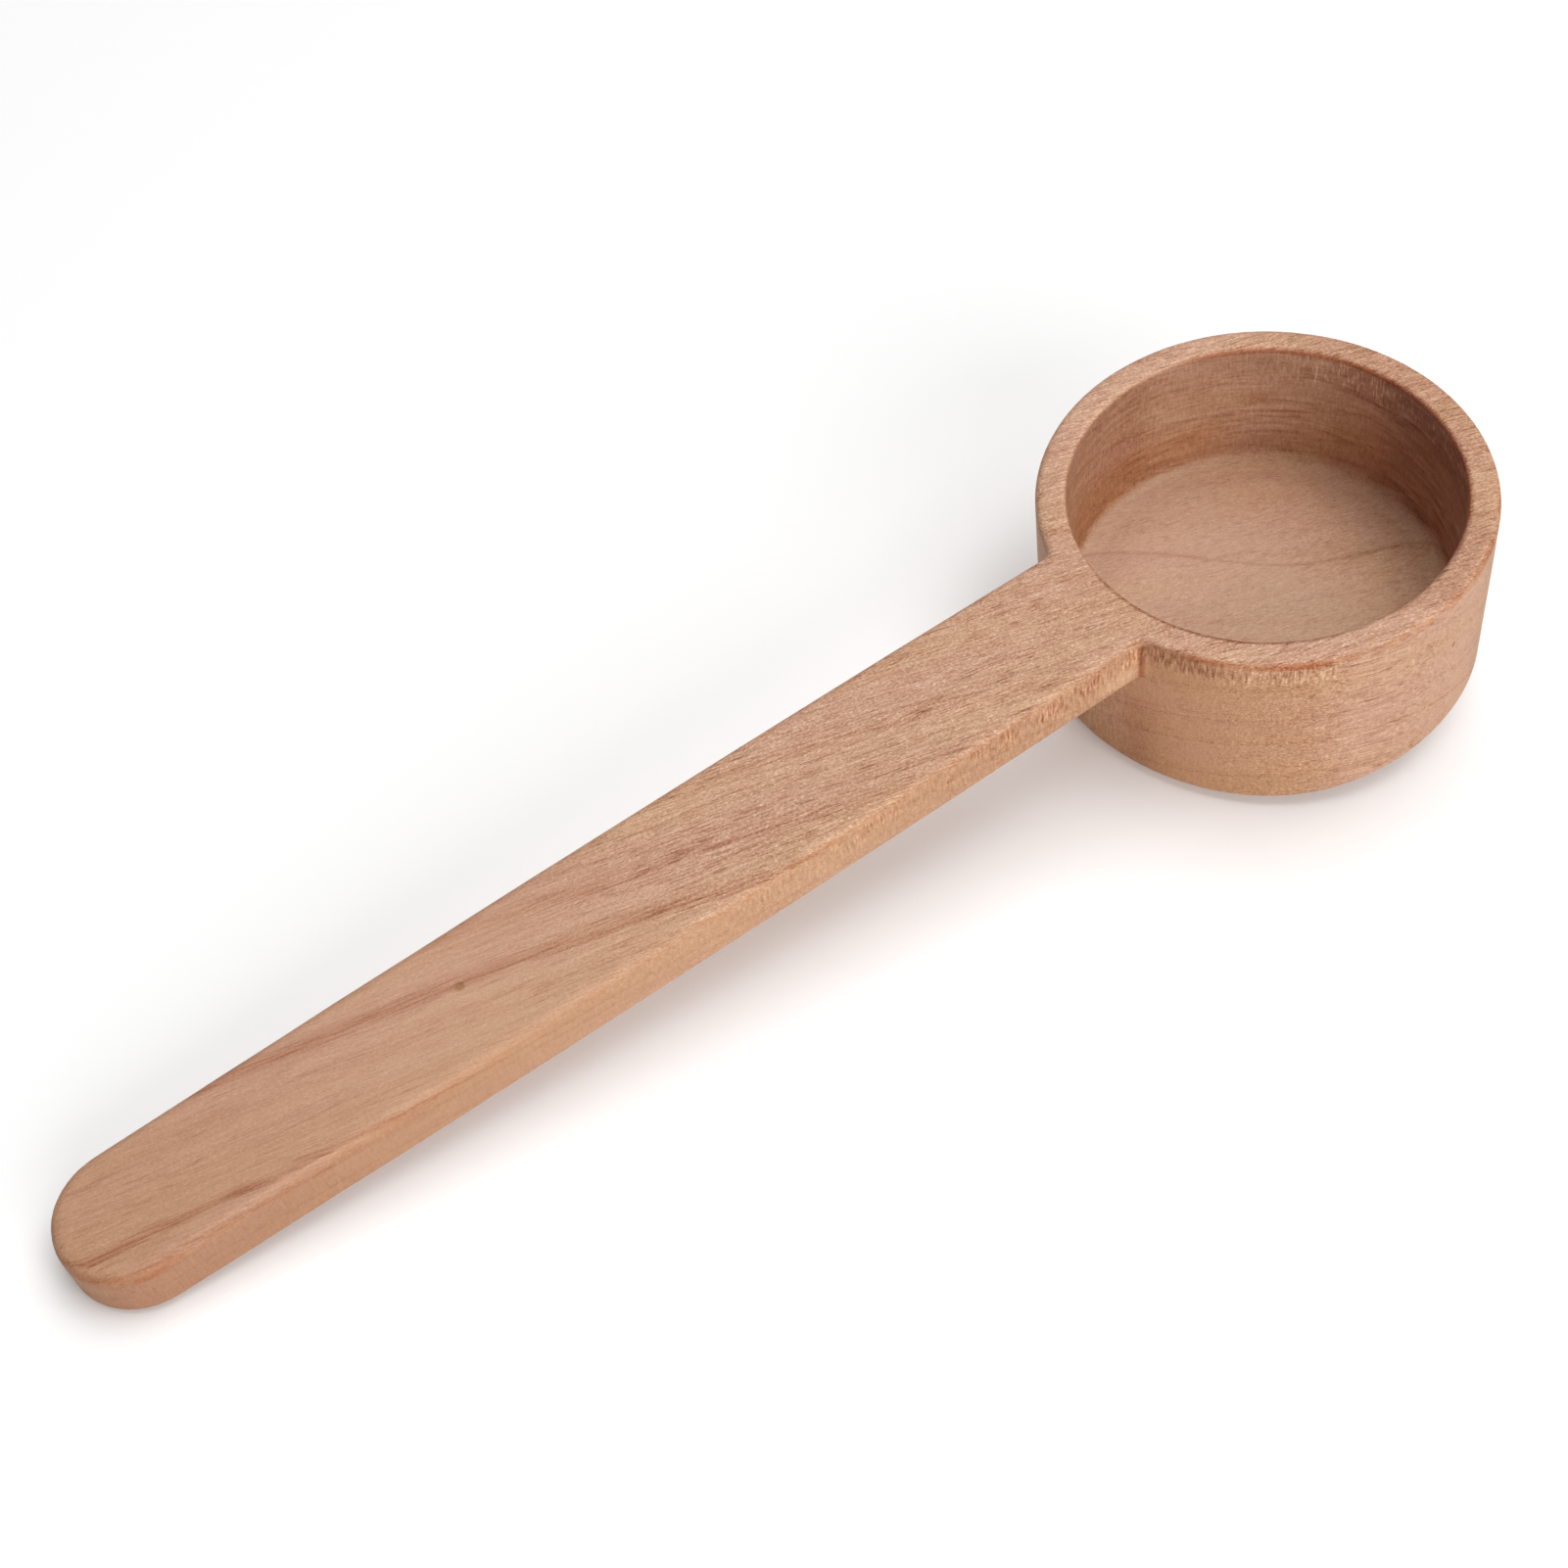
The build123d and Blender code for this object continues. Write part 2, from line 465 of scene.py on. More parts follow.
# %% [markdown]
# No tree grows straight, so slow noise shifts the fibres sideways by up to half a millimetre. The
# growth layers waver too, and a quicker noise that is drawn out along the fibres feathers them, as a
# line looks that crosses the fibres at a slant. One function makes all such noise in this material:
# it divides three lengths by the sizes wanted there, in millimetres.

# %% Let the fibres wander
def grain(lengths, patch_size, detail):
    """Noise from 0 to 1, in patches of the given size along three lengths."""
    stretched = add(tree, VECTOR, (lengths, patch_size), operation="DIVIDE")
    return add(tree, NOISE, {"Vector": stretched, "Scale": 1, "Detail": detail})


wander = grain(fibre, (24, 7, 7), 2).node.outputs["Color"]
wander = add(tree, VECTOR, (wander, (0.5, 0.5, 0.5)), operation="SUBTRACT")
shift = add(tree, VECTOR, (wander, (0, 1.6, 0.5)), operation="MULTIPLY")
fibre = add(tree, VECTOR, (fibre, shift), operation="ADD")
layer_shift = add(tree, VECTOR, (wander, (2, 0, 0)), out="Value", operation="DOT_PRODUCT")
smooth_layer = add(tree, MATH, (layer, layer_shift), operation="ADD")
feather = add(tree, MATH, (grain(fibre, (5, 0.35, 0.35), 2), -0.5), operation="ADD")
layer = add(tree, MATH, (feather, 1.4, smooth_layer), operation="MULTIPLY_ADD")
print("with wandering fibres", len(tree.nodes), "nodes")

# %% [markdown]
# Each year's growth ends in a thin dense layer that shows as a darker line. One group makes such a
# line: it builds up slowly from one side and stops sharply at the other. The paler wood between two
# lines is the same group with a strength below zero.

# %% Growth lines
def make_growth_line():
    """Darkness of one growth line at the given place among the layers."""
    inputs = dict.fromkeys(("Layer", "Place", "Build-up", "Stop", "Strength"), FLOAT)
    group, given, result = new_tree("growth_line", inputs, {"Darkness": FLOAT}, "ShaderNodeTree")
    beyond = add(group, MATH, (given["Layer"], given["Place"]), operation="SUBTRACT")
    start = add(group, MATH, (given["Stop"], -1), operation="MULTIPLY")
    rise = add(
        group, RANGE, {"Value": beyond, "From Min": start, "From Max": 0},
        interpolation_type="SMOOTHSTEP",
    )
    fall = add(
        group, RANGE,
        {"Value": beyond, "From Min": 0, "From Max": given["Build-up"], "To Min": 1, "To Max": 0},
        interpolation_type="SMOOTHSTEP",
    )
    line = add(group, MATH, (rise, fall), operation="MULTIPLY")
    line = add(group, MATH, (line, given["Strength"]), operation="MULTIPLY")
    group.links.new(line, result["Darkness"])
    return group


growth_line = make_growth_line()
# place, build-up and stop in mm of layer, and strength
lines = (
    (10.6, 1.5, 0.6, 0.4),
    (0.0, 1.5, 0.5, 0.5),
    (-6.8, 1.5, 0.5, 0.35),
    (-8.7, 0.8, 0.4, 0.25),
    (-12.7, 1.5, 0.5, 0.15),
    (-18.8, 1.1, 0.5, 0.3),
    (-20.3, 1.0, 0.9, -0.45),
    (-23.4, 0.8, 0.5, 0.2),
    (-26.2, 2.2, 0.8, 0.35),
    (-28.9, 0.8, 1.6, -0.25),
    (-31.2, 1.7, 0.6, 0.8),
    (-33.0, 0.9, 1.2, -0.35),
    (-36.3, 1.2, 1.2, -0.25),
    (-42.0, 1.0, 0.6, 0.95),
    (-45.5, 1.5, 0.5, 0.6),
    (-53.4, 1.5, 0.5, 0.6),
    (-66.6, 1.5, 0.5, 0.6),
)
growth = 0.0
for line in lines:
    darkness = add(tree, SHADER_GROUP, (layer, *line), node_tree=growth_line)
    growth = add(tree, MATH, (growth, darkness), operation="ADD")
print(len(lines), "growth lines")

# %% [markdown]
# Streaks are bundles of fibres that are a little lighter or darker, in three sizes. Over them lies
# the nap, which has no direction: short fibre ends that the sandpaper left, a fifth of a millimetre
# across. Some of them catch the light as flecks and glints.

# %% Streaks and nap
broad = grain(fibre, (16, 1.6, 1.2), 1)
middle = grain(fibre, (6, 0.42, 0.42), 1)
streaks = grain(fibre, (3.6, 0.15, 0.15), 1)
nap = grain(fibre, (0.24, 0.17, 0.17), 0)
flecks = add(tree, RANGE, {"Value": nap, "From Min": 0.6, "From Max": 0.75})
glints = grain(fibre, (0.32, 0.15, 0.15), 0)
glints = add(tree, RANGE, {"Value": glints, "From Min": 0.62, "From Max": 0.72})
print("with streaks and nap", len(tree.nodes), "nodes")

# %% [markdown]
# Pores are the wood's vessels, cut open as short dark dashes, and on end grain as dots. They are
# under a tenth of a millimetre wide and drawn a little wider, so that they show. Rays are thin sheets
# of cells that stand across the layers and show as small pale flecks, above all on the handle's
# sides. Both come from a cell pattern: a mark lies in the middle of each cell, and each cell's random
# colour says how strong its mark is, down to none.

# %% Pores and rays
def marks_in_cells(cell_size, dash_edge, dash_middle, none_below, full_above):
    """Dashes in cells of the given size, where the random number of a cell allows one."""
    stretched = add(tree, VECTOR, (fibre, cell_size), operation="DIVIDE")
    cells = add(tree, "ShaderNodeTexVoronoi", {"Vector": stretched, "Scale": 1})
    which = add(tree, SPLIT, (cells.node.outputs["Color"],))
    dash = add(tree, RANGE, {"Value": cells, "From Min": dash_edge, "From Max": dash_middle})
    present = add(tree, RANGE, {"Value": which, "From Min": none_below, "From Max": full_above})
    return add(tree, MATH, (dash, present), operation="MULTIPLY")


pores = marks_in_cells((3, 0.26, 0.26), 0.34, 0.2, 0.35, 0.9)
rays = marks_in_cells((0.6, 0.16, 1.2), 0.45, 0.2, 0.4, 0.8)
print("with pores and rays", len(tree.nodes), "nodes")

# %% [markdown]
# A few darker lines are centimetres long: rows of pores that were laid in one season. They follow the
# places where a slow noise passes through its middle value, and the fine streaks break them up.

# %% Long dark lines
contours = add(tree, MATH, (grain(fibre, (16, 1.1, 1.1), 1), 0.5), operation="SUBTRACT")
contours = add(tree, MATH, (contours,), operation="ABSOLUTE")
long_lines = add(tree, RANGE, {"Value": contours, "From Min": 0.035, "From Max": 0.01})
broken = add(
    tree, RANGE, {"Value": streaks, "From Min": 0.62, "From Max": 0.4, "To Min": 0.15, "To Max": 1}
)
long_lines = add(tree, MATH, (long_lines, broken), operation="MULTIPLY")
print("with long lines", len(tree.nodes), "nodes")

# %% [markdown]
# The tools left marks of their own, which don't follow the fibres. Turning the cavity left rings on
# its wall, stronger in some places. Fibres that the cutter tore or crossed stand as short upright
# ticks, in patches two millimetres wide. So these read the level coordinates.

# %% Rings and upright ticks
rings = add(tree, MATH, (grain(level, (4, 4, 0.45), 2), -0.5), operation="ADD")
here_and_there = grain(level, (9, 9, 4), 1)
here_and_there = add(
    tree, RANGE, {"Value": here_and_there, "From Min": 0.4, "From Max": 0.65, "To Min": 0.35}
)
rings = add(tree, MATH, (rings, here_and_there), operation="MULTIPLY")
upright = add(tree, MATH, (grain(level, (0.22, 0.22, 1.1), 1), -0.5), operation="ADD")
patches = grain(level, (2.2, 2.2, 4), 1)
patches = add(tree, RANGE, {"Value": patches, "From Min": 0.4, "From Max": 0.6})
print("with the tools' marks", len(tree.nodes), "nodes")

# %% [markdown]
# The spoon's faces were cut and sanded in different ways, so they need to be told apart. A group says
# whether a value lies between two limits, and a region is where several such limits hold at once, or
# where other regions overlap. The distance from the cup's axis and the height below the rim say what
# is cavity, wall or handle. The bearing round the axis says which side of the cup it is, in degrees,
# with the handle at 180 and the side towards the camera near -120.

# %% Regions of the spoon
def make_between():
    """One where a value lies between two limits, and zero outside them, with soft ends."""
    inputs = dict.fromkeys(("Value", "Low", "High", "Softness"), FLOAT)
    group, given, result = new_tree("between", inputs, {"Inside": FLOAT}, "ShaderNodeTree")
    above = add(group, MATH, (given["Value"], given["Low"]), operation="SUBTRACT")
    below = add(group, MATH, (given["High"], given["Value"]), operation="SUBTRACT")
    inside = add(group, MATH, (above, below), operation="MINIMUM")
    inside = add(group, MATH, (inside, given["Softness"]), operation="DIVIDE")
    inside = add(
        group, RANGE, {"Value": inside, "From Min": -0.5, "From Max": 0.5},
        interpolation_type="SMOOTHSTEP",
    )
    group.links.new(inside, result["Inside"])
    return group


between = make_between()


def region(*parts):
    """Where all parts hold. A part is a region, or a value with its low and high limit and softness."""
    masks = [
        add(tree, SHADER_GROUP, part, node_tree=between) if isinstance(part, tuple) else part
        for part in parts
    ]
    overlap = masks[0]
    for mask in masks[1:]:
        overlap = add(tree, MATH, (overlap, mask), operation="MULTIPLY")
    return overlap


from_axis = add(tree, VECTOR, (level, (1, 1, 0)), operation="MULTIPLY")
from_axis = add(tree, VECTOR, (from_axis,), out="Value", operation="LENGTH")
bearing = add(tree, MATH, (y, x), operation="ARCTAN2")
bearing = add(tree, MATH, (bearing,), operation="DEGREES")
print("with bearings", len(tree.nodes), "nodes")

# %% [markdown]
# Now the faces themselves. A side is told from the top by the way the surface faces: the direction of
# its normal along the cup's axis is one on top and zero on a wall.

# %% Faces of the spoon
in_cavity = add(tree, RANGE, {"Value": from_axis, "From Min": 18.4, "From Max": 17.8})
deep = add(tree, RANGE, {"Value": z, "From Min": -13.7, "From Max": -14.3})
on_floor = region(in_cavity, deep)
off_floor = add(tree, MATH, (1, on_floor), operation="SUBTRACT")
facing = add(tree, "ShaderNodeTexCoord", out="Normal")
facing = add(tree, VECTOR, (facing, -cup_down), out="Value", operation="DOT_PRODUCT")
on_top = add(tree, RANGE, {"Value": facing, "From Min": 0.3, "From Max": 0.9})
off_top = add(tree, MATH, (1, on_top), operation="SUBTRACT")
on_handle = add(tree, RANGE, {"Value": x, "From Min": -20.1, "From Max": -20.9})
on_cup = add(tree, MATH, (1, on_handle), operation="SUBTRACT")
beside = region(off_top, on_handle)
outside = add(tree, RANGE, {"Value": from_axis, "From Min": 20.3, "From Max": 20.9})
on_wall = region(outside, on_cup, off_top)
on_rim = region((from_axis, 18, 25, 0.6), on_top, on_cup)
inside_rim = add(tree, RANGE, {"Value": from_axis, "From Min": 18.6, "From Max": 18.2})
inside_wall = region(inside_rim, off_top)
print("with faces", len(tree.nodes), "nodes")

# %% [markdown]
# The figure isn't equally strong everywhere. It is crisp beside the cup and on the rim, quieter
# towards the tip, which was sanded most, and faint on the cup's floor. On the cup's front the cutter
# ran along the fibres and roughened them, so the nap is strong there and the streaks are lost in it.

# %% How strongly the figure shows
def weakened(strength, *losses):
    """A strength that loses the given share of itself in each region."""
    for place, loss in losses:
        left = add(tree, MATH, (place, -loss, 1), operation="MULTIPLY_ADD")
        strength = add(tree, MATH, (strength, left), operation="MULTIPLY")
    return strength


crisp = add(
    tree, RANGE, {"Value": x, "From Min": -86, "From Max": -60, "To Min": 0.4, "To Max": 1},
    interpolation_type="SMOOTHSTEP",
)
crisp = weakened(crisp, (on_floor, 0.35), (beside, 0.4), (inside_wall, 0.55))
rough_front = region((bearing, -140, -104, 26), on_wall)
nap_strength = weakened(crisp, (on_wall, 0.75))
nap_strength = add(tree, MATH, (rough_front, 0.8, nap_strength), operation="MULTIPLY_ADD")
streaky_wall = region((bearing, -124, -82, 26), on_wall)
streak_strength = weakened(crisp, (on_wall, 0.45), (beside, 0.5))
streak_strength = add(tree, MATH, (streaky_wall, 0.4, streak_strength), operation="MULTIPLY_ADD")
growth = weakened(growth, (on_floor, 0.75), (on_wall, 0.7), (beside, 0.6))
quiet = add(tree, MATH, (broken, 0.55, 0.45), operation="MULTIPLY_ADD")
growth = add(tree, MATH, (growth, quiet), operation="MULTIPLY")
print("with strengths", len(tree.nodes), "nodes")

# %% [markdown]
# From here on, marks are collected by name: each is a region that is paler or darker than the plain wood
# by some share of the full range of tones. The first ones are broad. The cavity's floor and its corner
# are paler, the rim is darker on its right and near side and paler on its far side, and the handle's
# side darkens towards the tip. The rest are painted shade: the cavity's wall on its far left and its
# right, with its right lip, the outer wall's right side, the wall under the neck and the handle's side
# beside the neck.

# %% Broad shades
marks, shares = {}, {}


def mark(name, share, *parts):
    """Notes a region that is paler, or darker below zero, by the given share."""
    marks[name] = region(*parts)
    shares[name] = share


darker_end = add(tree, RANGE, {"Value": x, "From Min": -66, "From Max": -105})
mark("floor", 0.03, on_floor)
mark("floor_corner", 0.07, (from_axis, 16.0, 17.5, 0.7), (z, -15, -13.4, 0.5))
# painted shade: the cavity's wall is darkened on its far left, its right and its right lip, where shade
# falls inside the cup
mark("far_left_inside_shade", -0.14, (bearing, 86, 180, 16), inside_wall)
mark("right_inside_shade", -0.12, (bearing, -90, 6, 24), inside_wall)
mark("right_inner_lip_shade", -0.12, (bearing, -45, 24, 16), (z, -4, 0.5, 1.6), inside_wall)
mark("right_rim", -0.08, (bearing, -32, 42, 12), on_rim)
mark("near_rim", -0.1, (bearing, -84, -50, 12), on_rim)
mark("far_rim", 0.04, (bearing, 52, 124, 16), on_rim)
# painted shade on the outer wall's right side
mark("right_wall_shade", -0.06, (bearing, -66, -20, 10), on_wall)
# painted shadow: the wall under the neck is darkened where the handle shades it
mark("painted_shadow_under_neck", -0.14, (bearing, -181, -158, 12), (z, -22, -9, 8), on_wall)
# painted shade on the handle's side beside the neck, next to the cup
mark("handle_side_shade_at_neck", -0.07, (x, -46, -20, 14), beside)
mark("handle_side_at_tip", -0.1, beside, darker_end)
print(len(marks), "broad shades")

# %% [markdown]
# The cutter came off the near edge of the handle and of the rim, and tore the fibre ends there. They
# stand as a fringe of upright ticks just below the edge, dark with painted shadow beside the neck and
# burnt to a rusty brown further round. The sharp inside corner of the neck is a thin brown line of
# painted shade, and the handle's side right beside it has a pale painted highlight. The cavity's edge
# beside the neck is a darker line too.

# %% The torn edge
torn_cup = region((z, -2.7, -0.4, 1.4), (bearing, -164, -114, 12), on_wall)
near_neck = add(tree, RANGE, {"Value": x, "From Min": -75, "From Max": -26})
torn_handle = region((z, -2.4, -0.5, 1.4), beside, near_neck, patches)
mark("shaded_fringe", -0.17, (bearing, -163, -143, 8), (z, -2.2, -0.2, 1.2), on_cup, outside)
mark("pale_fringe", 0.06, (bearing, -141, -112, 10), (z, -2.9, -0.9, 1.2), on_wall, patches)
mark(
    "rusty_edge", -0.14,
    (bearing, -153, -116, 8), (z, -0.7, -0.1, 0.3), on_cup, outside, here_and_there,
)
mark(
    "burr", -0.16,
    (bearing, -116, -36, 24), (z, -0.8, -0.1, 0.5), on_cup, patches, outside, here_and_there,
)
# painted highlight on the handle's side just beside the neck
mark("painted_highlight_at_neck", 0.12, (x, -25, -20.6, 2), (z, -4.6, -1.4, 1.5), beside)
# painted shade: a thin dark line in the neck's inside corner
mark("neck_crease_shade", -0.3, (x, -20.5, -19.8, 0.4), (y, -6.9, -6.1, 0.4), (z, -5.2, -0.7, 0.4))
mark(
    "inner_edge_at_neck", -0.3,
    (from_axis, 17.6, 18.5, 0.3), (z, -1.6, 1, 0.2), (x, -19, -7, 6), (y, -25, 2, 2),
)
mark("reddish_inner_edge", -0.1, (bearing, -60, 72, 20), (z, -0.5, 1, 0.2), inside_rim)
loose_fibres = add(tree, RANGE, {"Value": upright, "From Min": 0.05, "From Max": 0.2})
mark("pale_fuzz_inside", 0.3, (bearing, -40, 40, 20), (z, -3.5, -0.3, 1), inside_wall, loose_fibres)
print(len(marks), "marks so far")

# %% [markdown]
# A few marks are this blank's own: a singed place at the tip's edge, the pin knot of a bud that never
# grew, and the pinhole that an insect left in the cup's wall. The tip's near edge is a little paler and
# cooler as a painted highlight. The glints are fibre ends that shine on the top and on the rough front.

# %% Marks of this blank
# painted highlight where the tip's near edge catches the light
mark("tip_edge_highlight", 0.03, (x, -118, -108, 6), (y, -8, -4.6, 1), (z, -2, 1, 0.8))
mark(
    "singed_tip", -0.06,
    (x, -124, -116, 4), (y, -7, -2, 2), (z, -0.9, 1, 0.4), off_top, patches,
)
# name: centre in mm, radius, softness, change of tone
spots = {
    "pin_knot": ((-86.1, 1.0, 0.0), 0.45, 0.4, -0.06),
    "pinhole": ((4.4, -20.5, -6.9), 0.25, 0.1, -0.35),
}
for name, (centre, radius, softness, share) in spots.items():
    away = add(tree, VECTOR, (level, centre), out="Value", operation="DISTANCE")
    mark(name, share, (away, -1, radius, softness))
mark("glints_on_top", 0.2, glints, off_floor, on_top, (x, -66, 30, 30))
mark("glints_on_front", 0.16, glints, rough_front)
print(len(marks), "marks so far")

# %% [markdown]
# On the cup's smooth outer wall the growth layers come out as hairlines instead of bands, because the
# cutter crossed them nearly square there. They use the layers without the feathering. The floor shows
# one such line too, which swings to and fro on its way across.

# %% Hairlines on the wall and the floor
hairlines = 0.0
half_width = 0.3
for place, strength in ((-32.2, 0.6), (-44.2, 1.0), (-53.9, 1.0), (-67.1, 0.7)):
    hairline = region((smooth_layer, place - half_width, place + half_width, 0.5))
    hairlines = add(tree, MATH, (hairline, strength, hairlines), operation="MULTIPLY_ADD")
hairlines = region(hairlines, on_wall, broken)
swing_length, swing_start, swing_reach = 4.14, 5, 1.4
swing = add(tree, MATH, (x, 1 / swing_length, -swing_start / swing_length), operation="MULTIPLY_ADD")
swing = add(tree, MATH, (swing,), operation="COSINE")
swung_layer = add(tree, MATH, (swing, swing_reach, smooth_layer), operation="MULTIPLY_ADD")
floor_line = region((swung_layer, -31.6, -31.1, 0.6), on_floor)
hairlines = add(tree, MATH, (hairlines, floor_line), operation="ADD")
mark("hairlines", -0.16, hairlines)
print(len(marks), "marks in all")

# %% [markdown]
# All of this adds up to one number, the tone: a half is plain wood, less is darker and more is paler.
# Each part is taken about its own middle, so that it makes as much wood paler as darker, and enters
# with a share that was matched to the photo.

# %% From figure to tone
fine_figure = 0.0
for part, share in ((middle, 0.05), (streaks, 0.64)):
    part = add(tree, MATH, (part, -0.5), operation="ADD")
    fine_figure = add(tree, MATH, (part, share, fine_figure), operation="MULTIPLY_ADD")
for part, share in ((pores, -0.18), (long_lines, -0.14), (rays, 0.1)):
    fine_figure = add(tree, MATH, (part, share, fine_figure), operation="MULTIPLY_ADD")
plain_tone = 0.53
tone = add(tree, MATH, (fine_figure, streak_strength, plain_tone), operation="MULTIPLY_ADD")
nap_tone = add(tree, MATH, (nap, -0.5), operation="ADD")
nap_tone = add(tree, MATH, (flecks, 0.08, nap_tone), operation="MULTIPLY_ADD")
nap_tone = add(tree, MATH, (nap_tone, nap_strength), operation="MULTIPLY")
broad = add(tree, MATH, (broad, -0.5), operation="ADD")
for part, share in ((nap_tone, 0.45), (growth, -0.19), (broad, 0.08)):
    tone = add(tree, MATH, (part, share, tone), operation="MULTIPLY_ADD")
darker_tip = add(
    tree, RANGE, {"Value": x, "From Min": -118, "From Max": -88, "To Min": -0.05, "To Max": 0.02}
)
tone = add(tree, MATH, (tone, darker_tip), operation="ADD")
print("the figure's tone takes", len(tree.nodes), "nodes")

# %% [markdown]
# The ticks are strong where the edge was torn and weak on the other sides, and the rings are stronger
# on the cavity's right than on its far left. Then every named mark adds its share.

# %% Ticks, rings and marks
side_near_neck = region(near_neck, beside)
for place, share in (
    (torn_cup, 1.1), (torn_handle, 1.5), (beside, 0.15), (side_near_neck, 0.4), (on_wall, 0.15),
    (inside_wall, 0.35),
):
    ticks = add(tree, MATH, (upright, place), operation="MULTIPLY")
    tone = add(tree, MATH, (ticks, share, tone), operation="MULTIPLY_ADD")
ring_strength = inside_wall
for name, share in (("far_left_inside_shade", -0.4), ("right_inside_shade", 0.7)):
    ring_strength = add(tree, MATH, (marks[name], share, ring_strength), operation="MULTIPLY_ADD")
tone = add(tree, MATH, (rings, ring_strength, tone), operation="MULTIPLY_ADD")
for name, share in shares.items():
    tone = add(tree, MATH, (marks[name], share, tone), operation="MULTIPLY_ADD")
print("the whole tone takes", len(tree.nodes), "nodes")

# %% [markdown]
# A colour ramp turns the tone into the wood's own colours, from a burnt brown to a pale cream. The plain
# wood drifts between a straw and a pinker colour over a few centimetres. The floor is greyer towards the
# handle, and the cavity's right side is dulled towards a dusky grey as painted shade.

# %% From tone to colour
ramp = add(tree, "ShaderNodeValToRGB", (tone,))
stops = ((0.0, "#724430"), (0.25, "#9E6B4E"), (0.5, "#BE9276"), (0.75, "#D6AE92"), (1.0, "#ECCFB6"))
elements = ramp.node.color_ramp.elements
for place, code in stops[1:-1]:
    elements.new(place)
for element, (place, code) in zip(elements, stops):
    element.position = place
    element.color = linear(code)

drifts = add(tree, RANGE, {"Value": grain(fibre, (45, 9, 5), 2), "From Min": 0.35, "From Max": 0.65})
straw, pink = linear("#FFFEF5"), linear("#FFFDFF")
# Where a mix node takes its factor and two colours, and where it gives their mix
factor, first, second, mixed = 0, 6, 7, 2
drift_tint = {factor: drifts, first: straw, second: pink}
drift_tint = add(tree, MIX, drift_tint, out=mixed, data_type="RGBA")
colour = add(tree, VECTOR, (ramp, drift_tint), operation="MULTIPLY")
grey_floor = region((x, -30, 6, 8), on_floor)
# the floor's grey is the wood's own; the dusky grey on the cavity's right side is painted shade
for place, share, code in ((grey_floor, 0.25, "#B29E8E"), (marks["right_inside_shade"], 0.3, "#9C8488")):
    place = add(tree, MATH, (place, share), operation="MULTIPLY")
    dulled = {factor: place, first: colour, second: linear(code)}
    colour = add(tree, MIX, dulled, out=mixed, data_type="RGBA")
print("colour ramp has", len(elements), "stops")

# %% [markdown]
# The edges are warmer than the faces beside them: the turn from top to side is golden in patches. It
# is found where the surface faces neither up nor sideways. Each of the other tints is multiplied in
# where its mark lies.

# %% Tints
turning = add(tree, MATH, (on_top, 2, -1), operation="MULTIPLY_ADD")
turning = add(tree, MATH, (turning,), operation="ABSOLUTE")
edge = add(tree, MATH, (turning, -1, 1), operation="MULTIPLY_ADD")
near_top = add(tree, RANGE, {"Value": z, "From Min": -2.5, "From Max": -1.5})
patchy = add(
    tree, RANGE, {"Value": middle, "From Min": 0.35, "From Max": 0.65, "To Min": 0.1, "To Max": 1}
)
edge = region(edge, near_top, patchy)
golden_front = region((bearing, -180, -114, 18), on_wall)
# painted light: an amber tint low on the cavity's far wall stands in for warm light bounced inside the
# cup
warm_bounce_light_inside = region((bearing, 60, 130, 20), (z, -14.2, -9, 2.5), inside_wall)
# the tints of the neck crease and of the tip's edge belong to their painted shade and painted highlight
tints = (
    (edge, "#FBEEDE"), (beside, "#FFFDF6"), (golden_front, "#F9F0E1"), (warm_bounce_light_inside, "#FFF4E4"),
    (torn_handle, "#FFF0E2"), (growth, "#FCF0EA"), (marks["rusty_edge"], "#FFDEC6"),
    (marks["burr"], "#F8DDB4"), (marks["neck_crease_shade"], "#F8E4D8"),
    (marks["reddish_inner_edge"], "#F0D0C0"), (marks["singed_tip"], "#FFE2C6"),
    (marks["pin_knot"], "#E4E0CC"), (marks["tip_edge_highlight"], "#FAFAFF"),
)
for place, code in tints:
    tinted = {factor: place, first: colour, second: linear(code)}
    colour = add(tree, MIX, tinted, out=mixed, data_type="RGBA", blend_type="MULTIPLY")
tree.links.new(colour, shader.inputs["Base Color"])
print(len(tints), "tints")

# %% [markdown]
# Bare sanded wood is matt, so the roughness is high and the gloss low. The nap stands up a little and
# the pores are grooves, which the bump shows: both are far too fine for the mesh.

# %% Surface
height = add(tree, MATH, (nap, nap_strength), operation="MULTIPLY")
grooves = add(tree, MATH, (pores, streak_strength), operation="MULTIPLY")
height = add(tree, MATH, (grooves, -0.6, height), operation="MULTIPLY_ADD")
bump = add(tree, "ShaderNodeBump", {"Strength": 0.8, "Distance": 0.07 * MM, "Height": height})
tree.links.new(bump, shader.inputs["Normal"])
shader.inputs["Roughness"].default_value = 0.62
shader.inputs["IOR"].default_value = 1.45
shader.inputs["Specular IOR Level"].default_value = 0.35
print("the wood has", len(tree.nodes), "nodes")

# %% [markdown]
# Now the tree that was built at the start runs once. Its cells are a third of a millimetre wide, which
# keeps the smallest edges round and the mesh under 200,000 triangles. The sanding waves are 14 mm long
# and less than a tenth of a millimetre deep.

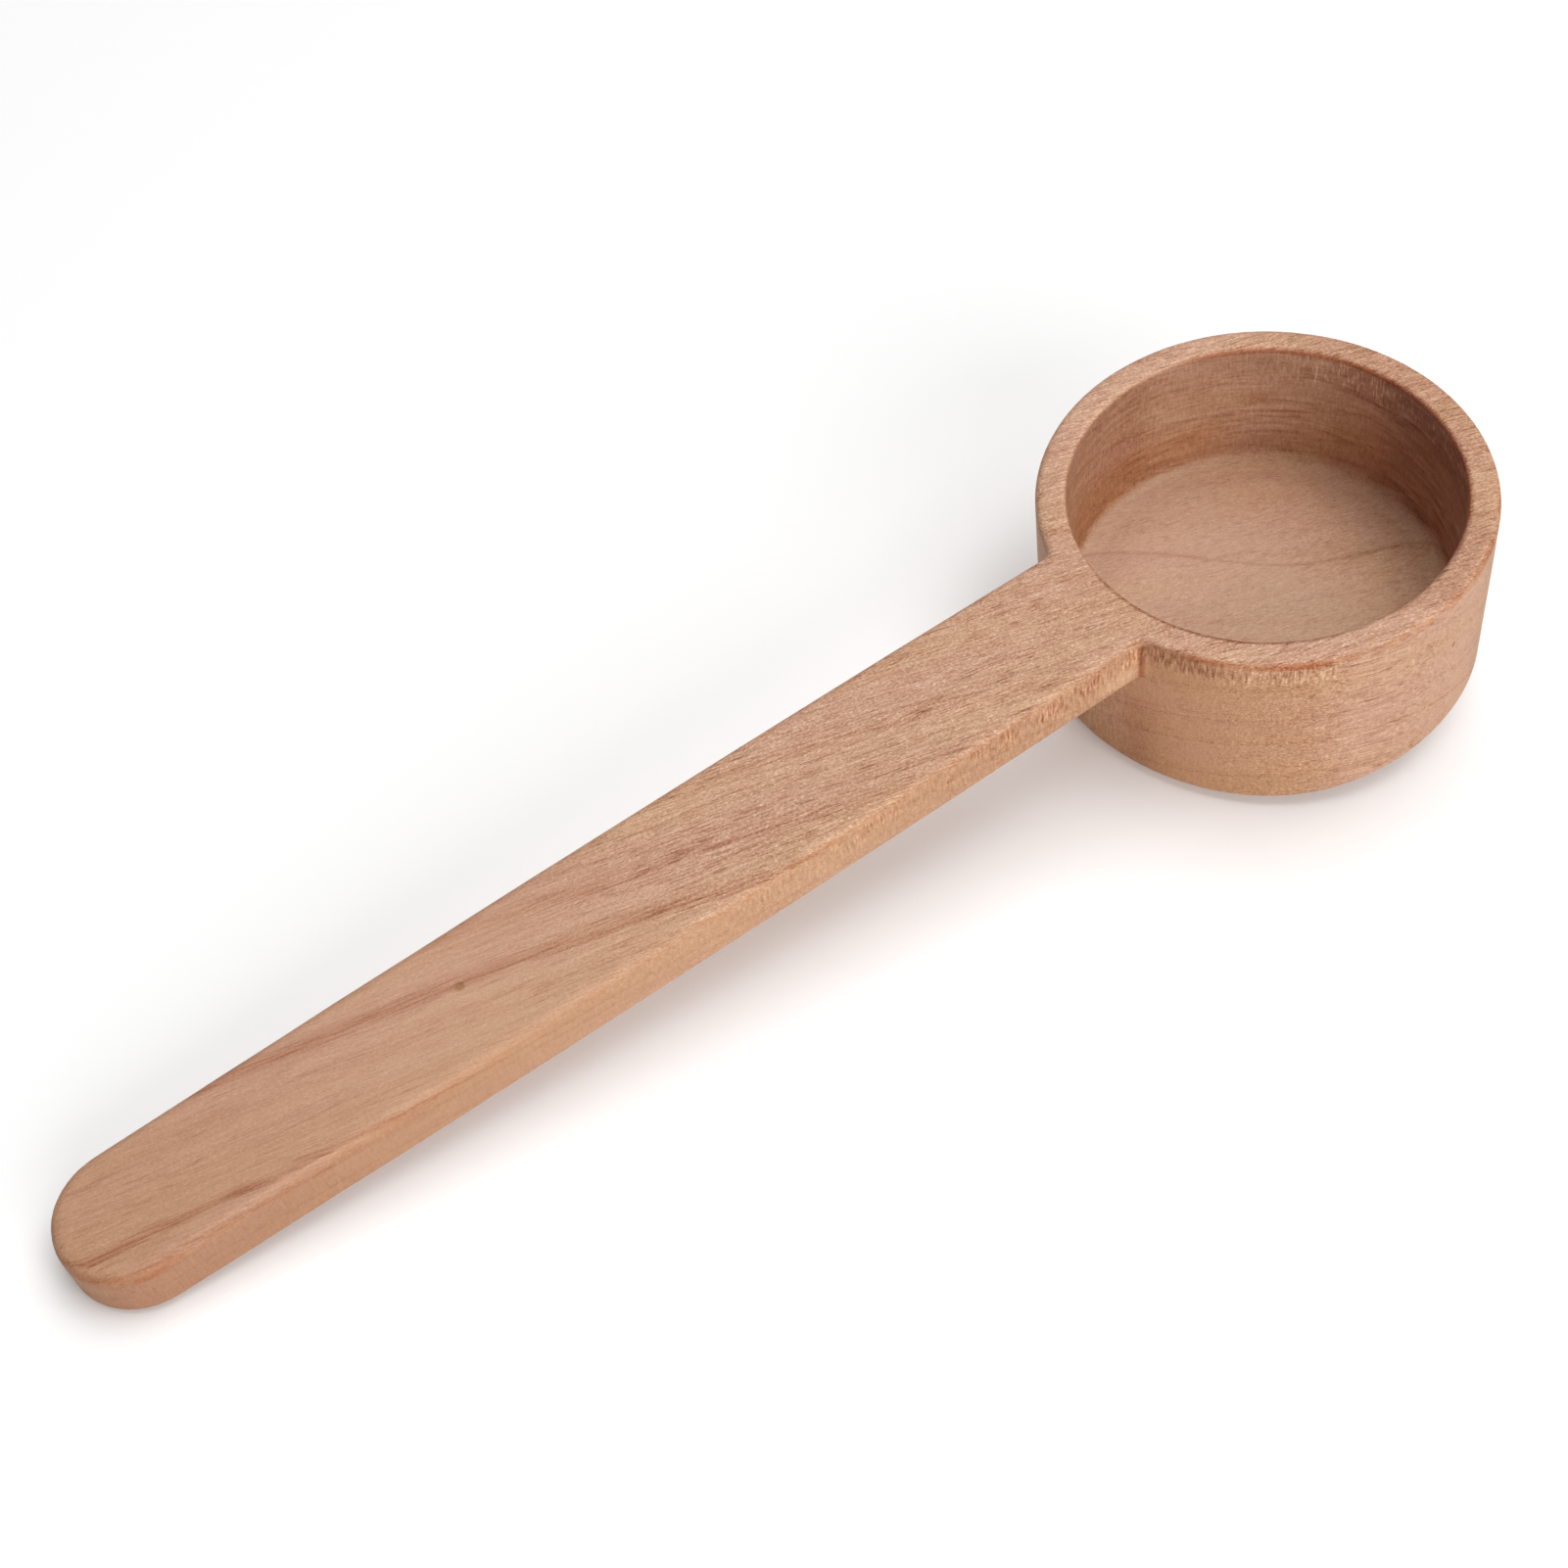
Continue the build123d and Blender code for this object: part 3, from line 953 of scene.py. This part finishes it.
# %% Carve the spoon
cell = 0.35 * MM
margin = 2 * cell
lowest = Vector((-sizes["Handle tip"] - margin, -cup_radius - margin, -cup_height - margin))
highest = Vector((cup_radius + margin, cup_radius + margin, margin))
cells = [round((high - low) / cell) for low, high in zip(lowest, highest)]
spoon = grow(
    "carved_spoon", carve_spoon, bpy.data.meshes.new("nothing"),
    {
        **sizes,
        "Lowest corner": lowest,
        "Highest corner": highest,
        "Cells along": cells[0],
        "Cells across": cells[1],
        "Cells up": cells[2],
        "Sanding depth": 0.08 * MM,
        "Sanding length": 14 * MM,
        "Probe": 0.02 * MM,
        "Wood": wood,
    },
)
print("the spoon has", len(spoon.data.polygons), "faces")
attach(spoon, "root")
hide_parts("spoon")

# %% [markdown]
# The camera stands where the photo's stood. Its place, direction and lens were fitted to the rim, the
# base's edge, the handle's edges and the tip in the photo, so that the two pictures can be laid over
# each other. The direction is made a rotation by turning the camera's own -Z onto it.

# %% Camera
camera_data = bpy.data.cameras.new("camera")
camera = bpy.data.objects.new("camera", camera_data)
bpy.context.scene.collection.objects.link(camera)
bpy.context.scene.camera = camera
camera_data.sensor_width = 36
camera_data.lens = 56.71
camera_data.clip_start = 1 * MM
camera_place = Vector((-82.682, -114.052, 174.336)) * MM
view_direction = Vector((0.37480, 0.541694, -0.75239))
camera.location = camera_place
camera.rotation_mode = "QUATERNION"
camera.rotation_quaternion = view_direction.to_track_quat("-Z", "Y")
print("the camera is", round(camera_place.length / MM), "mm from the middle of the spoon")

# %% [markdown]
# The floor is a sheet of matt white paper, lit softly enough to show the spoon's shadow. It also glows
# a little by itself, and from 30 cm outwards it glows more and more, until it is as white as the
# background. So the paper has no edge and a low view shows no horizon.

# %% Floor
floor_mesh = bpy.data.meshes.new("floor")
floor_half = 1.2
corners = [(-floor_half, -floor_half, 0), (floor_half, -floor_half, 0)]
corners += [(floor_half, floor_half, 0), (-floor_half, floor_half, 0)]
floor_mesh.from_pydata(corners, [], [(0, 1, 2, 3)])
floor = bpy.data.objects.new("floor", floor_mesh)
bpy.context.scene.collection.objects.link(floor)
paper = bpy.data.materials.new("matt_white_paper")
paper.use_nodes = True
paper_shader = paper.node_tree.nodes["Principled BSDF"]
paper_shader.inputs["Base Color"].default_value = linear("#F4F4F4")
paper_shader.inputs["Roughness"].default_value = 0.9
paper_shader.inputs["Emission Color"].default_value = linear("#FFFFFF")
from_middle = add(paper.node_tree, "ShaderNodeTexCoord", out="Object")
from_middle = add(paper.node_tree, VECTOR, (from_middle,), out="Value", operation="LENGTH")
glow = {"Value": from_middle, "From Min": 0.3, "From Max": 0.8, "To Min": 0.12, "To Max": 1}
glow = add(paper.node_tree, RANGE, glow)
paper.node_tree.links.new(glow, paper_shader.inputs["Emission Strength"])
floor_mesh.materials.append(paper)
print("the paper is", floor_half * 2, "m wide")

# %% [markdown]
# Three softboxes light the scene, all aimed at the spoon. The one overhead gives the broad even light
# on the top, the one in front fills the cup's wall and the handle's side, and the small key light
# shades the cavity. Each is placed by its azimuth and elevation, as a photographer would walk it round
# the table. Their sizes decide how soft the shadows are.

# %% Soft lights
softbox_distance = 0.9
# name: azimuth, elevation, width, height, power
softboxes = {
    "key": (300, 64, 0.5, 0.5, 1.6),
    "overhead": (28, 76, 0.9, 0.9, 7.3),
    "front_fill": (264, 26, 0.8, 0.5, 4.9),
}
for name, (azimuth, elevation, width, tall, power) in softboxes.items():
    lamp = bpy.data.lights.new(name, "AREA")
    lamp.shape = "RECTANGLE"
    lamp.size, lamp.size_y, lamp.energy = width, tall, power
    softbox = bpy.data.objects.new(name, lamp)
    bpy.context.scene.collection.objects.link(softbox)
    turn = Euler((0, -radians(elevation), radians(azimuth)), "XYZ")
    towards = Vector((1, 0, 0))
    towards.rotate(turn)
    softbox.location = towards * softbox_distance
    softbox.rotation_mode = "QUATERNION"
    softbox.rotation_quaternion = (-towards).to_track_quat("-Z", "Y")
print(len(softboxes), "soft lights")

# %% [markdown]
# The background is white to the camera alone and gives no light, because light from all sides would
# flatten the shading in the cup. The Standard view keeps the photo's own contrast.

# %% Background
world = bpy.data.worlds.new("studio")
bpy.context.scene.world = world
world.use_nodes = True
backdrop = world.node_tree.nodes["Background"]
backdrop.inputs["Color"].default_value = linear("#FFFFFF")
only_seen = add(world.node_tree, "ShaderNodeLightPath", out="Is Camera Ray")
world.node_tree.links.new(only_seen, backdrop.inputs["Strength"])
bpy.context.scene.view_settings.view_transform = "Standard"
print("background", world.name)
